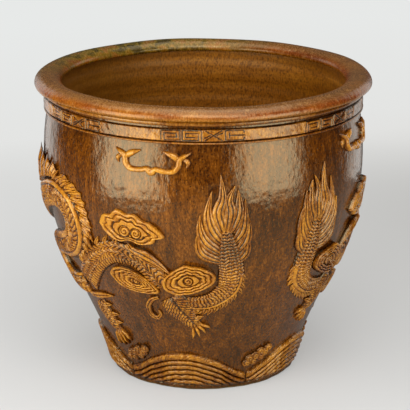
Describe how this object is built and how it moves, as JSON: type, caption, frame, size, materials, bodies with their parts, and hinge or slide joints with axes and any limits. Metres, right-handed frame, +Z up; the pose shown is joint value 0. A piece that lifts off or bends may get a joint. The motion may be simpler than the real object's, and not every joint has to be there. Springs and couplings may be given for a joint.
{
  "type": "martaban jar",
  "caption": "Wide-mouthed glazed stoneware jar with a rolled rim, fret band and applied dragons, clouds and waves round the wall.",
  "frame": {"origin": "centre of the standing face", "axes": "+Z up the jar's axis to the open mouth, -Y to the point on the wall where the two dragons' tails meet, +X to the right when that side is faced"},
  "size_m": [0.4799, 0.48, 0.433],
  "materials": {
    "brown_glaze": "gloss",
    "relief_glaze": "gloss",
    "wave_glaze": "gloss",
    "rim_glaze": "satin",
    "unglazed_foot": "matte"
  },
  "bodies": {
    "root": {"base_slab": "unglazed_foot", "foot_wall": "brown_glaze", "lower_wall": "brown_glaze", "belly_wall": "brown_glaze", "shoulder_wall": "brown_glaze", "rolled_rim": "rim_glaze", "collar_bead": "relief_glaze", "neck_bead": "relief_glaze", "fret_strip_1": "relief_glaze", "fret_strip_2": "relief_glaze", "fret_strip_3": "relief_glaze", "fret_strip_4": "relief_glaze", "fret_strip_5": "relief_glaze", "fret_strip_6": "relief_glaze", "fret_strip_7": "relief_glaze", "bail_far_left": "relief_glaze", "bail_near_left": "relief_glaze", "bail_near_right": "relief_glaze", "bail_far_right": "relief_glaze", "left_coil": "relief_glaze", "left_arch": "relief_glaze", "left_tail": "relief_glaze", "left_tail_flame": "relief_glaze", "left_back_fins": "relief_glaze", "left_mane": "relief_glaze", "left_hind_leg": "relief_glaze", "left_fore_leg": "relief_glaze", "left_elbow_fin": "relief_glaze", "left_curl": "relief_glaze", "left_head": "relief_glaze", "left_upper_cloud": "relief_glaze", "left_low_cloud": "relief_glaze", "left_front_cloud": "relief_glaze", "right_coil": "relief_glaze", "right_arch": "relief_glaze", "right_tail": "relief_glaze", "right_tail_flame": "relief_glaze", "right_back_fins": "relief_glaze", "right_mane": "relief_glaze", "right_hind_leg": "relief_glaze", "right_fore_leg": "relief_glaze", "right_elbow_fin": "relief_glaze", "right_curl": "relief_glaze", "right_head": "relief_glaze", "right_upper_cloud": "relief_glaze", "right_low_cloud": "relief_glaze", "right_front_cloud": "relief_glaze", "pearl": "relief_glaze", "pearl_flame": "relief_glaze", "wave_1": "wave_glaze", "wave_2": "wave_glaze", "wave_3": "wave_glaze", "wave_4": "wave_glaze", "wave_5": "wave_glaze", "foam_1": "wave_glaze", "foam_2": "wave_glaze", "foam_3": "wave_glaze", "foam_4": "wave_glaze", "foam_5": "wave_glaze"}
  },
  "joints": []
}
